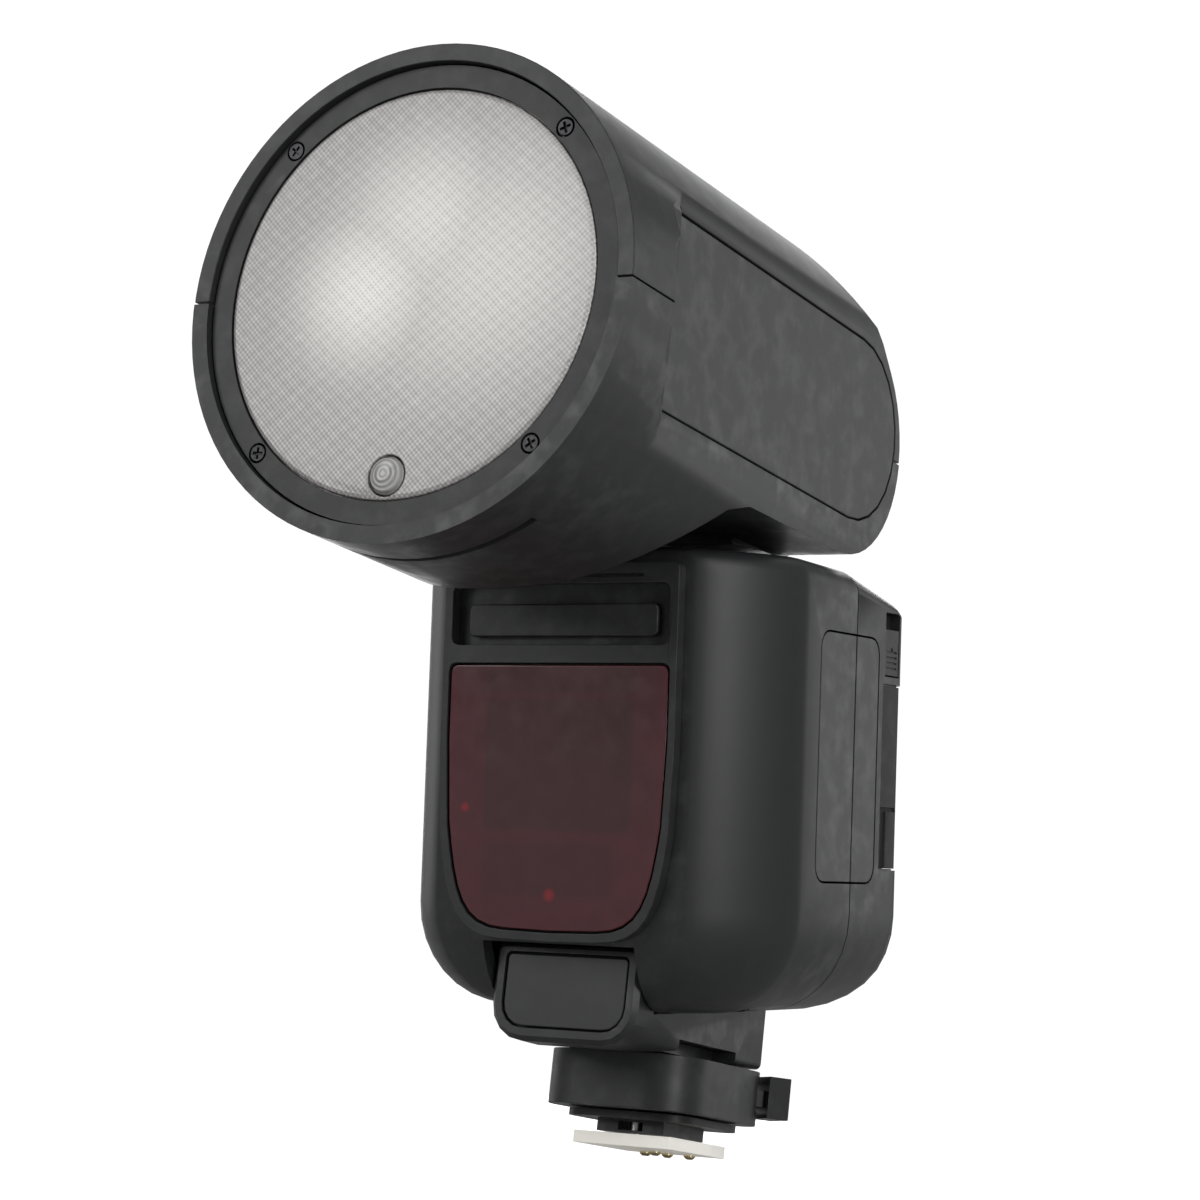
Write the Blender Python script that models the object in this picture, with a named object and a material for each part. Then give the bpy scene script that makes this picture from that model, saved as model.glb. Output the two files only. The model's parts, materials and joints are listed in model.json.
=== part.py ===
"""Round-headed speedlight flash on a quick-lock hot-shoe foot.

World frame: origin at the centre of the foot's sole, -Y is the front (lens side), +Z is up.
Sizes are in millimetres and become metres when a mesh is made. The control body leans forward
over the level foot, so its pieces are drawn in a leaned frame: x across, v to the back, w up.
"""
import math

import bpy
import bmesh
from mathutils import Vector

MM = 0.001
GAP = 0.3                      # clearance between neighbouring pieces
LEAN = math.radians(8.0)       # forward lean of the control body

# Control body, in the leaned frame
BODY_HALF = 35.0
BODY_FRONT = -33.0
BODY_BACK = 22.0
BODY_BOTTOM = 24.0
BODY_TOP = 97.0
BODY_WALL = 2.2
BODY_PARTING = 1.0
BOSS_R = 19.5                  # round boss under the head's turntable
CHEST_HALF = 22.3
SIDE_START = -16.5
SIDE_ROUND = 16.0
CHEST_FRONT = -35.5
CHEST_BOTTOM = 34.6
POCKET_HALF = 13.9
POCKET_BACK = -24.0
POCKET_TOP = 34.3

# Battery bay: v from and to, w from and to, and the bay's inner end
BAY = (-12.2, 9.9, 45.3, 85.9)
BAY_END = -25.3
BATTERY_FACE = 35.0

# Head, in the world frame
TILT_W = 118.8
TILT_Y = -TILT_W * math.sin(LEAN)
HEAD_Z = TILT_W * math.cos(LEAN)
HEAD_R = 38.5
HEAD_FRONT = -100.8
HEAD_WALL = 2.75
CHEEK_HALF = 33.0
CHEEK_WALL = 2.6
CHEEK_START = -79.3
BARREL_END = -88.0
LOBE_R = 19.8
BELLY_START = -72.0
BELLY_END = -48.0
SLOT_HALF = 19.7
SLOT_R = 15.0
SLOT_OPEN = math.radians(85.0)
PANEL_Z = (104.2, 134.3)
PANEL_BACK = -14.2
BEZEL_Y = -99.7
SCREW_CIRCLE = 33.7
LAMP_DROP = 28.0               # modelling lamp below the head's axis
CARRIAGE_R = 16.6
SCREW_RISE = 31.2              # lead screw above the head's axis
GROOVE = (-111.0, -58.0)       # accessory groove round the barrel's underside, in degrees
GROOVE_Y = (-91.4, -89.9)
GROOVE_DEPTH = 1.2

# Foot, in the world frame
FOOT_HALF = 9.3
FOOT_DEPTH = 9.8
FOOT_THICK = 2.0
COLLAR_HALF = 14.0
COLLAR_DEPTH = 16.5
COLLAR_Z = (5.9, 14.9)
HOUSING_HALF = 13.4
HOUSING_FRONT = -33.2
HOUSING_BACK = 11.5
LEVER_ANGLE = math.radians(50.0)
PIN_Y = -5.0

FINISHES = {
    "shell": ((0.035, 0.036, 0.038), 0.55, 0.0),
    "trim": ((0.022, 0.023, 0.025), 0.5, 0.0),
    "keys": ((0.05, 0.05, 0.052), 0.6, 0.0),
    "red_window": ((0.09, 0.012, 0.018), 0.12, 0.0),
    "dark_window": ((0.02, 0.022, 0.028), 0.1, 0.0),
    "lens": ((0.82, 0.82, 0.8), 0.15, 0.0),
    "reflector": ((0.9, 0.9, 0.88), 0.12, 1.0),
    "steel": ((0.55, 0.55, 0.56), 0.3, 1.0),
    "screws": ((0.03, 0.03, 0.03), 0.35, 1.0),
    "foot_metal": ((0.86, 0.84, 0.78), 0.35, 0.0),
    "contacts": ((0.9, 0.85, 0.7), 0.25, 1.0),
    "board": ((0.02, 0.12, 0.05), 0.5, 0.0),
    "rubber": ((0.03, 0.03, 0.03), 0.8, 0.0),
    "cell": ((0.04, 0.04, 0.045), 0.5, 0.0),
}


# ---------------------------------------------------------------- helpers

def clear_scene():
    for item in list(bpy.data.objects):
        bpy.data.objects.remove(item, do_unlink=True)


def finish(name):
    found = bpy.data.materials.get(name)
    if found:
        return found
    colour, roughness, metallic = FINISHES[name]
    made = bpy.data.materials.new(name)
    made.use_nodes = True
    shader = made.node_tree.nodes["Principled BSDF"]
    shader.inputs["Base Color"].default_value = (*colour, 1.0)
    shader.inputs["Roughness"].default_value = roughness
    shader.inputs["Metallic"].default_value = metallic
    made.diffuse_color = (*colour, 1.0)
    return made


def frame_empty(name, location=(0, 0, 0), lean=0.0):
    empty = bpy.data.objects.new(name, None)
    empty.location = Vector(location) * MM
    empty.rotation_euler.x = lean
    bpy.context.collection.objects.link(empty)
    return empty


def put(name, shape, parent, look=None, origin=(0, 0, 0)):
    """Make an object from a shape in the parent's millimetres, with its origin where stated."""
    shift = Vector(origin)
    for vert in shape.verts:
        vert.co = (vert.co - shift) * MM
    bmesh.ops.recalc_face_normals(shape, faces=shape.faces)
    if shape.calc_volume(signed=True) < 0:
        bmesh.ops.reverse_faces(shape, faces=shape.faces)
    mesh = bpy.data.meshes.new(name)
    shape.to_mesh(mesh)
    shape.free()
    made = bpy.data.objects.new(name, mesh)
    bpy.context.collection.objects.link(made)
    made.parent = parent
    made.location = shift * MM
    if look:
        mesh.materials.append(finish(look))
        mesh.shade_smooth()
        mesh.set_sharp_from_angle(angle=math.radians(35.0))
    else:
        made.hide_render = True
        made.display_type = "WIRE"
    return made


def carve(target, *cutters, operation="DIFFERENCE"):
    for cutter in cutters:
        step = target.modifiers.new(cutter.name, "BOOLEAN")
        step.operation = operation
        step.object = cutter


def loft(rings, strip_caps=False):
    """Skin a list of equal rings. Strip caps join the ring's two mirrored halves across."""
    shape = bmesh.new()
    rows = [[shape.verts.new(point) for point in ring] for ring in rings]
    count = len(rows[0])
    for low, high in zip(rows, rows[1:]):
        for i in range(count):
            j = (i + 1) % count
            shape.faces.new((low[i], low[j], high[j], high[i]))
    for row in (rows[0], rows[-1]):
        if not strip_caps:
            shape.faces.new(row)
            continue
        for i in range(count // 2 - 1):
            shape.faces.new((row[i], row[i + 1], row[count - i - 2], row[count - i - 1]))
    return shape


def along(axis, flat, height):
    """Stand a flat point up along an axis."""
    a, b = flat
    return {"x": (height, a, b), "y": (a, height, b), "z": (a, b, height)}[axis]


def extrude(outline, axis, low, high):
    return loft([[along(axis, point, level) for point in outline] for level in (low, high)])


def box(low, high):
    (x0, y0, z0), (x1, y1, z1) = low, high
    return extrude([(x0, y0), (x1, y0), (x1, y1), (x0, y1)], "z", z0, z1)


def arc(centre, radius, start, end, steps):
    """Points on an arc, with the angles in degrees."""
    points = []
    for i in range(steps + 1):
        angle = math.radians(start + (end - start) * i / steps)
        points.append((centre[0] + radius * math.cos(angle), centre[1] + radius * math.sin(angle)))
    return points


def circle(centre, radius, steps=24):
    return arc(centre, radius, 0.0, 360.0, steps)[:-1]


def rounded(low, high, radii, steps=4):
    """Rectangle with a radius for each corner, from the lower left one round."""
    (a0, b0), (a1, b1) = low, high
    corners = ((a0, b0, 1, 1, 180), (a1, b0, -1, 1, 270), (a1, b1, -1, -1, 0), (a0, b1, 1, -1, 90))
    points = []
    for (a, b, sa, sb, start), radius in zip(corners, radii):
        centre = (a + sa * radius, b + sb * radius)
        points += arc(centre, radius, start, start + 90, steps)
    return points


def turn(profile, axis, centre, steps=32, ring=False):
    """Turn a profile of (radius, height) points. A ring's profile closes on itself."""
    rings = [[along(axis, point, level) for point in circle(centre, radius, steps)]
             for radius, level in profile]
    if not ring:
        return loft(rings)
    shape = bmesh.new()
    rows = [[shape.verts.new(point) for point in row] for row in rings]
    for k, low in enumerate(rows):
        high = rows[(k + 1) % len(rows)]
        for i in range(steps):
            j = (i + 1) % steps
            shape.faces.new((low[i], low[j], high[j], high[i]))
    return shape


def sector(axis, centre, inner, outer, start, end, low, high, steps=16):
    outline = arc(centre, inner, start, end, steps) + arc(centre, outer, end, start, steps)
    return extrude(outline, axis, low, high)


def rod(axis, centre, radius, low, high, steps=24):
    return turn([(radius, low), (radius, high)], axis, centre, steps)


def tube(axis, centre, inner, outer, low, high, steps=32):
    profile = [(inner, low), (outer, low), (outer, high), (inner, high)]
    return turn(profile, axis, centre, steps, ring=True)


# ---------------------------------------------------------------- outlines

def ease(depth, radius):
    """How far a round edge of this radius falls back at a depth into it."""
    depth = min(max(depth, 0.0), radius)
    return radius - math.sqrt(radius * radius - depth * depth)


def body_ring(level, inset):
    """Outline of the control body at a height, pulled in all round by an inset."""
    half = BODY_HALF - ease(BODY_BOTTOM + SIDE_ROUND - level, SIDE_ROUND) - inset
    half -= ease(level - BODY_TOP + 4.0, 4.0)
    front = BODY_FRONT + 0.6 * ease(BODY_BOTTOM + SIDE_ROUND - level, SIDE_ROUND) + inset
    front += ease(level - BODY_TOP + 1.5, 1.5)
    back = BODY_BACK - ease(BODY_BOTTOM + 8.0 - level, 8.0) - inset
    back -= ease(level - BODY_TOP + 4.0, 4.0)
    chest = CHEST_HALF * half / BODY_HALF
    right = [(chest, front)]
    for i in range(1, 10):
        t = math.pi / 2 * i / 9
        right.append((chest + (half - chest) * math.sin(t) ** 1.5,
                      front + (SIDE_START - front) * (1 - math.cos(t) ** 1.5)))
    right += [(half, 0.0)]
    right += arc((half - 5.0, back - 5.0), 5.0, 0.0, 90.0, 4)
    return right + [(-x, v) for x, v in right[::-1]]


def body_rings(inset):
    levels = [24.0, 24.3, 25.2, 26.7, 28.7, 31.1, 33.9, 37.0, 40.0, 60.0, 88.0]
    levels += [93.0, 94.2, 95.3, 96.2, 96.7, 97.0]
    rings = []
    for level in levels:
        share = (level - BODY_BOTTOM) / (BODY_TOP - BODY_BOTTOM)
        ring = []
        for x, v in body_ring(level, inset):
            crown = BODY_TOP - 6.5 * (max(v + 10.0, 0.0) / 32.0) ** 2
            height = level
            if level > 88.0:
                height = 88.0 + (level - 88.0) * (crown - 88.0) / (BODY_TOP - 88.0)
            ring.append((x, v, height + inset * (1.0 - 2.0 * share)))
        rings.append(ring)
    return rings


def chest_outline(half, bottom, top, shrink=0.0):
    """Shield shape of the chest: straight sides, wide round lower corners."""
    half, bottom, top = half - shrink, bottom + shrink, top - shrink
    curve = [(half * 0.42, bottom + 0.2), (half * 0.82, bottom + 0.4),
             (half - 2.2, bottom + 5.5), (half - 0.6, bottom + 17.0)]
    right = [(0.0, bottom)]
    for i in range(9):
        t = i / 8
        weights = ((1 - t) ** 3, 3 * t * (1 - t) ** 2, 3 * t * t * (1 - t), t ** 3)
        right.append(tuple(sum(k * point[a] for k, point in zip(weights, curve)) for a in (0, 1)))
    right += [(half, bottom + 30.0)] + arc((half - 1.2, top - 1.2), 1.2, 0.0, 90.0, 3)
    return right + [(-x, w) for x, w in right[::-1] if x > 0.0]


def head_rings(radius, wall, front):
    """A round barrel whose sides flatten into the cheeks. The hollow narrows further forward."""
    lead = 2.5 * wall
    rings = []
    for y in (front, -94.5, BARREL_END, -85.5, -82.0, CHEEK_START, TILT_Y + LOBE_R + 2.0):
        spread = min(max((y + lead - BARREL_END) / (CHEEK_START - BARREL_END), 0.0), 1.0)
        side = HEAD_R + (CHEEK_HALF - HEAD_R) * spread - wall
        ring = []
        for i in range(96):
            angle = 2 * math.pi * (i + 0.5) / 96
            x = min(max(radius * math.cos(angle), -side), side)
            ring.append((x, y, HEAD_Z + radius * math.sin(angle)))
        rings.append(ring)
    return rings


def head_profile(trim):
    """Side view of the head: sloping roof behind, round lobe about the tilt axle, raised belly."""
    lobe = LOBE_R - trim
    high = HEAD_R + 5.0
    roof_y = TILT_Y + lobe * math.sqrt(2.0) - high
    outline = [(-120.0, HEAD_Z - high), (BELLY_START - 5.0 * trim / HEAD_WALL, HEAD_Z - high)]
    outline += [(BELLY_START - trim, HEAD_Z - HEAD_R + trim),
                (BELLY_START + 5.0, HEAD_Z - HEAD_R + 2.2 + trim),
                (BELLY_END - 5.0, HEAD_Z - LOBE_R - 2.2 + trim), (BELLY_END, HEAD_Z - lobe - 0.5)]
    outline += arc((TILT_Y, HEAD_Z), lobe, -90.0, 45.0, 18)
    return outline + [(roof_y, HEAD_Z + high), (-120.0, HEAD_Z + high)]


def slot_outline(radius):
    """Side view of the space for the neck, in the head: open below, behind and above behind."""
    reach = 62.0
    top = (TILT_Y + reach * math.cos(SLOT_OPEN), HEAD_Z + reach * math.sin(SLOT_OPEN))
    back = TILT_Y + reach
    low = HEAD_Z - reach
    outline = [(TILT_Y - radius, low), (back, low), (back, HEAD_Z + reach), top]
    return outline + arc((TILT_Y, HEAD_Z), radius, math.degrees(SLOT_OPEN), 180.0, 7)


def panel_outline(grow):
    low, high = PANEL_Z
    middle = (low + high) / 2
    radius = (high - low) / 2 + grow
    front = [(-82.0 - grow, high + grow), (-79.9 - grow, middle), (-82.0 - grow, low - grow)]
    return front + arc((PANEL_BACK, middle), radius, -90.0, 90.0, 12)


def bay_outline(grow, radius):
    v0, v1, w0, w1 = BAY
    return rounded((v0 - grow, w0 - grow), (v1 + grow, w1 + grow), [radius] * 4)


# ---------------------------------------------------------------- control body

def body_shells(frame):
    hollow = put("body_hollow", loft(body_rings(BODY_WALL), True), frame)
    bay = put("battery_bay", extrude(bay_outline(0.0, 3.0), "x", 28.0, 40.0), frame)
    boss = put("pan_boss", rod("z", (0, 0), BOSS_R, 88.0, 96.9, 48), frame)
    collar = put("pan_hole", rod("z", (0, 0), 8.6, 88.0, 102.0), frame)
    split = {
        "front_shell": box((-60, BODY_PARTING - GAP / 2, 0), (60, 60, 120)),
        "rear_shell": box((-60, -60, 0), (60, BODY_PARTING + GAP / 2, 120)),
    }
    shells = {}
    for name, half in split.items():
        shell = put(name, loft(body_rings(0.0), True), frame, "shell")
        side = put(name + "_split", half, frame)
        carve(shell, boss, operation="UNION")
        carve(shell, hollow, bay, collar, side)
        shells[name] = shell
    space = box((-POCKET_HALF, -50, 10), (POCKET_HALF, POCKET_BACK, POCKET_TOP))
    pocket = put("housing_pocket", space, frame)
    sight = put("sensor_hole", box((-15, -40, 43), (15, -29, 75)), frame)
    carve(shells["front_shell"], pocket, sight)
    for side in (-1, 1):
        hole = put(f"base_screw_hole_{side}", rod("z", (side * 22.0, -12.0), 1.9, 20.0, 32.0, 16), frame)
        carve(shells["front_shell"], hole)
    return shells


def chest(frame):
    outline = chest_outline(21.5, CHEST_BOTTOM, 94.6)
    plate = put("chest_bezel", extrude(outline, "y", CHEST_FRONT, BODY_FRONT - GAP), frame, "shell")
    window = chest_outline(20.3, CHEST_BOTTOM + 1.4, 78.7)
    recess = rounded((-20.0, 81.6), (20.0, 91.4), [1.2] * 4, 2)
    carve(plate, put("window_hole", extrude(window, "y", -40, -30), frame),
          put("accessory_recess", extrude(recess, "y", -40, -30), frame))
    pane = chest_outline(20.3, CHEST_BOTTOM + 1.4, 78.7, GAP)
    put("sensor_window", extrude(pane, "y", CHEST_FRONT + 0.2, BODY_FRONT - GAP), frame, "red_window")
    cover = rounded((-17.4, 83.0), (17.4, 88.2), [0.9] * 4, 2)
    put("accessory_cover", extrude(cover, "y", -34.6, BODY_FRONT - GAP), frame, "trim",
        origin=(0, -34, 85.6))
    put("sensor_board", box((-15.5, -28.6, 40), (15.5, -27.2, 76)), frame, "board")


def battery(frame):
    pack = extrude(bay_outline(-GAP, 2.7), "x", -24.0, BATTERY_FACE)
    middle = ((BAY[0] + BAY[1]) / 2, (BAY[2] + BAY[3]) / 2)
    put("battery", pack, frame, "cell", origin=(BATTERY_FACE, *middle))
    cradle = put("battery_cradle", extrude(bay_outline(1.4, 3.0), "x", BAY_END - 1.2, 32.2), frame, "trim")
    carve(cradle, put("cradle_hollow", extrude(bay_outline(0.0, 2.0), "x", BAY_END, 40.0), frame))


def rear_controls(frame, shell):
    screen = ((-25.0, 60.0), (25.0, 86.0))
    opening = rounded(*screen, [1.5] * 4, 2)
    carve(shell, put("screen_hole", extrude(opening, "y", 15, 30), frame))
    pane = rounded((-25 + GAP, 60 + GAP), (25 - GAP, 86 - GAP), [1.3] * 4, 2)
    put("screen_window", extrude(pane, "y", 20.5, 22.1), frame, "dark_window")
    put("screen_module", box((-23, 15.2, 61), (23, 19.4, 85)), frame, "trim")
    for index, x in enumerate((-18.0, -6.0, 6.0, 18.0)):
        key(frame, shell, f"function_key_{index + 1}", (x, 54.0), (4.2, 1.9))
    for name, place in (("mode_button", (-20.5, 43.5)), ("menu_button", (20.5, 43.5)),
                        ("test_button", (20.5, 34.5))):
        key(frame, shell, name, place, (3.6, 2.4))
    place = (-20.5, 34.5)
    slot = rounded((place[0] - 5.2, place[1] - 2.0), (place[0] + 5.2, place[1] + 2.0), [1.8] * 4, 3)
    carve(shell, put("power_slot", extrude(slot, "y", 15, 30), frame))
    knob = rounded((place[0] - 4.8, place[1] - 1.6), (place[0] + 1.2, place[1] + 1.6), [1.4] * 4, 3)
    put("power_switch", extrude(knob, "y", 17.5, 23.2), frame, "keys", origin=(place[0], 20, place[1]))
    dial(frame, shell, (0.0, 39.0))


def key(frame, shell, name, place, half):
    x, w = place
    a, b = half
    hole = rounded((x - a - GAP, w - b - GAP), (x + a + GAP, w + b + GAP), [1.5] * 4, 2)
    carve(shell, put(name + "_hole", extrude(hole, "y", 15, 30), frame))
    cap = rounded((x - a, w - b), (x + a, w + b), [1.2] * 4, 3)
    put(name, extrude(cap, "y", 16.6, 22.9), frame, "keys", origin=(x, 22.9, w))


def dial(frame, shell, place):
    carve(shell, put("dial_hole", rod("y", place, 11.6, 15, 30, 32), frame))
    ring = [(5.3, 16.8), (11.2, 16.8), (11.2, 23.6), (10.4, 24.4), (6.4, 24.4), (5.3, 23.6)]
    put("dial_ring", turn(ring, "y", place, 32, ring=True), frame, "keys", origin=(place[0], 20, place[1]))
    put("set_button", turn([(4.9, 16.6), (4.9, 23.3), (4.2, 23.8)], "y", place, 24), frame, "keys",
        origin=(place[0], 23.8, place[1]))


def ports(frame, shell):
    recess = put("port_recess", box((30.9, 11.5, 47.7), (40, 30, 78.5)), frame)
    carve(shell, recess)
    cover = put("port_cover", loft(body_rings(0.15), True), frame, "rubber")
    block = put("port_cover_block", box((31.2, 11.8, 48.0), (40, 30, 78.2)), frame)
    carve(cover, block, operation="INTERSECT")
    jack = put("usb_socket", box((24.3, 15.2, 66), (30.0, 18.9, 75)), frame, "steel")
    carve(jack, put("usb_mouth", box((25.5, 16.1, 66.9), (32, 18.0, 74.1)), frame))
    put("sync_socket", tube("x", (16.8, 56.0), 1.25, 2.2, 24.3, 30.0, 20), frame, "steel")
    slot = put("latch_recess", box((33.0, 12.0, 79.7), (40, 17.8, 90.4)), frame)
    carve(shell, slot)
    put("battery_latch", box((33.3, 12.3, 80.0), (34.8, 17.5, 87.6)), frame, "keys",
        origin=(34, 15, 84))


def electronics(frame):
    put("main_board", box((-29, 12.9, 34), (29, 14.3, 86)), frame, "board")
    put("flash_capacitor", turn([(7.6, -20), (8, -19.6), (8, 19.6), (7.6, 20)], "x", (-15.5, 36.5), 24),
        frame, "cell")


def turntable(frame):
    profile = [(8.2, 89.0), (8.2, 97.2), (BOSS_R, 97.2), (BOSS_R, 97.8)]
    profile += [(18.6, 98.3), (15.0, 98.8), (12.0, 99.5)]
    put("turntable", turn(profile, "z", (0, 0), 40), frame, "shell")
    post = rounded((-10.5, 99.8), (10.5, 125.0), [0.5, 0.5, 10.0, 10.0], 6)
    knuckle = put("neck_post", extrude(post, "x", -17.5, 17.5), frame, "shell")
    barrel = put("neck_knuckle", rod("x", (0, TILT_W), 13.2, -19.2, 19.2, 36), frame)
    carve(knuckle, barrel, operation="UNION")
    carve(knuckle, put("axle_bore", rod("x", (0, TILT_W), 3.4, -30, 30, 24), frame))
    put("tilt_axle", rod("x", (0, TILT_W), 3.1, -27.5, 27.5, 24), frame, "steel")


# ---------------------------------------------------------------- foot

def foot(world):
    sole = rounded((-FOOT_HALF, -FOOT_DEPTH), (FOOT_HALF, FOOT_DEPTH), [0.6] * 4, 2)
    plate = put("foot_plate", extrude(sole, "z", 0.0, FOOT_THICK), world, "foot_metal")
    riser = put("foot_riser", box((-6.25, -7.2, 2.3), (6.25, 7.0, 5.0)), world, "trim")
    flange = rounded((-11.5, -11.5), (11.5, 12.0), [5.0] * 4)
    carve(riser, put("riser_flange", extrude(flange, "z", 4.4, 5.6), world),
          put("riser_stem", rod("z", (0, 0), 4.0, 5.0, 14.9), world), operation="UNION")
    window = put("riser_window", box((-2.3, -9, 2.7), (2.3, PIN_Y, 4.1)), world)
    bore = put("pin_bore", rod("z", (0, PIN_Y), 1.25, -1.0, 8.9, 16), world)
    carve(riser, window, bore)
    carve(plate, bore)
    spots = [(0.0, 2.3), (-4.2, 6.6), (0.0, 6.6), (4.2, 6.6)]
    for index, spot in enumerate(spots):
        carve(plate, put(f"contact_hole_{index}", rod("z", spot, 1.3, -1.0, 3.0, 16), world))
        pin = [(0.5, -0.7), (1.0, -0.3), (1.0, 1.9)]
        put(f"contact_pin_{index + 1}", turn(pin, "z", spot, 16), world, "contacts")
    put("locking_pin", turn([(0.7, 0.3), (0.95, 0.6), (0.95, 8.5)], "z", (0, PIN_Y), 16), world, "steel",
        origin=(0, PIN_Y, 0))
    return bore


def lock_collar(world, bore):
    outline = rounded((-COLLAR_HALF, -COLLAR_DEPTH), (COLLAR_HALF, COLLAR_DEPTH), [8.0] * 4, 8)
    cup = put("lock_collar", extrude(outline, "z", *COLLAR_Z), world, "shell")
    sweep = [(0.0, 0.0)] + arc((0.0, 0.0), 30.0, 38.0, 107.0, 8)
    carve(cup, put("collar_hollow", rod("z", (0, 0), 11.2, 7.5, 20.0, 32), world),
          put("stem_hole", rod("z", (0, 0), 4.4, 3.0, 9.0), world),
          put("lever_slot", extrude(sweep, "z", 8.3, 13.0), world), bore)
    hub = put("lock_lever", tube("z", (0, 0), 4.4, 8.8, 9.0, 12.2, 32), world, "trim")
    ahead = Vector((math.cos(LEVER_ANGLE), math.sin(LEVER_ANGLE)))
    aside = Vector((-ahead.y, ahead.x))
    corners = ((7.0, -2.2), (19.6, -2.2), (19.6, 2.2), (7.0, 2.2))
    arm = [tuple(ahead * a + aside * b) for a, b in corners]
    tab = [tuple(ahead * a + aside * b) for a, b in ((18.9, -4.0), (23.0, -3.6), (23.0, 3.6), (18.9, 4.0))]
    carve(hub, put("lever_arm", extrude(arm, "z", 9.2, 12.0), world),
          put("lever_tab", extrude(tab, "z", 7.4, 14.4), world), operation="UNION")


def base_housing(world, frame):
    stations = [(HOUSING_FRONT, 15.0, 5.2), (-32.4, 14.2, 6.0), (-27.0, 14.1, 6.0), (-21.0, 14.7, 3.5),
                (-18.0, 15.3, 1.0), (HOUSING_BACK, 15.3, 1.0)]
    rings = []
    for y, low, radius in stations:
        half = HOUSING_HALF - (0.8 if y == HOUSING_FRONT else 0.0)
        top = 29.7 - (0.6 if y == HOUSING_FRONT else 0.0)
        outline = rounded((-half, low), (half, top), [radius, radius, 1.0, 1.0])
        rings.append([(x, y, z) for x, z in outline])
    housing = put("base_housing", loft(rings), world, "shell")
    low, front = BODY_BOTTOM - GAP, POCKET_BACK - GAP
    above = [(front, low), (60, low), (60, 80), (front, 80)]
    carve(housing, put("housing_clear", extrude(above, "x", -60, 60), frame))
    for side in (-1, 1):
        low, high = sorted((side * 9.0, side * 20.0))
        carve(housing, put(f"housing_notch_{side}", box((low, -18.0, 12.0), (high, 2.0, 17.2)), world))
    recess = rounded((-11.4, 16.2), (11.4, 28.4), [4.0, 4.0, 1.0, 1.0])
    carve(housing, put("lamp_recess", extrude(recess, "y", -36.0, -31.4), world))
    pane = rounded((-11.1, 16.5), (11.1, 28.1), [3.7, 3.7, 0.8, 0.8])
    put("focus_lamp_window", extrude(pane, "y", -33.0, -31.7), world, "dark_window")
    for side, word in ((-1, "left"), (1, "right")):
        screw = rod("z", (side * 22.0, -12.0), 1.5, 24.6, 30.0, 16)
        put(f"base_screw_{word}", screw, frame, "screws")


# ---------------------------------------------------------------- head

def head_shells(world):
    slot = put("neck_slot", extrude(slot_outline(SLOT_R), "x", -SLOT_HALF, SLOT_HALF), world)
    half = SLOT_HALF + 2.4
    wide = put("neck_slot_wide", extrude(slot_outline(SLOT_R + 2.4), "x", -half, half), world)
    outside = put("head_profile", extrude(head_profile(0.0), "x", -50, 50), world)
    inside = put("hollow_profile", extrude(head_profile(2.3), "x", -50, 50), world)
    hollow = put("head_hollow", loft(head_rings(HEAD_R - HEAD_WALL, CHEEK_WALL, HEAD_FRONT - 2.0)), world)
    carve(hollow, inside, operation="INTERSECT")
    carve(hollow, wide)
    groove = sector("y", (0.0, HEAD_Z), HEAD_R - GROOVE_DEPTH, HEAD_R + 3.0, *GROOVE, *GROOVE_Y)
    groove = put("accessory_groove", groove, world)
    bore = put("cheek_bore", rod("x", (TILT_Y, HEAD_Z), 3.4, -25.0, 25.0), world)
    recesses = []
    for side, word in ((-1, "left"), (1, "right")):
        low, high = sorted((side * (CHEEK_HALF - 1.4), side * 45.0))
        recesses.append(put(f"panel_recess_{word}", extrude(panel_outline(GAP), "x", low, high), world))
        low, high = sorted((side * (CHEEK_HALF - 1.1), side * CHEEK_HALF))
        put(f"head_side_panel_{word}", extrude(panel_outline(0.0), "x", low, high), world, "shell")
    halves = {
        "head_upper_shell": box((-90, -150, 0), (90, 90, HEAD_Z + GAP / 2)),
        "head_lower_shell": box((-90, -150, HEAD_Z - GAP / 2), (90, 90, 250)),
    }
    for name, cutter in halves.items():
        shell = put(name, loft(head_rings(HEAD_R, 0.0, HEAD_FRONT)), world, "shell")
        carve(shell, outside, operation="INTERSECT")
        if name == "head_lower_shell":
            carve(shell, groove)
        carve(shell, slot, hollow, bore, *recesses, put(name + "_split", cutter, world))


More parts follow.
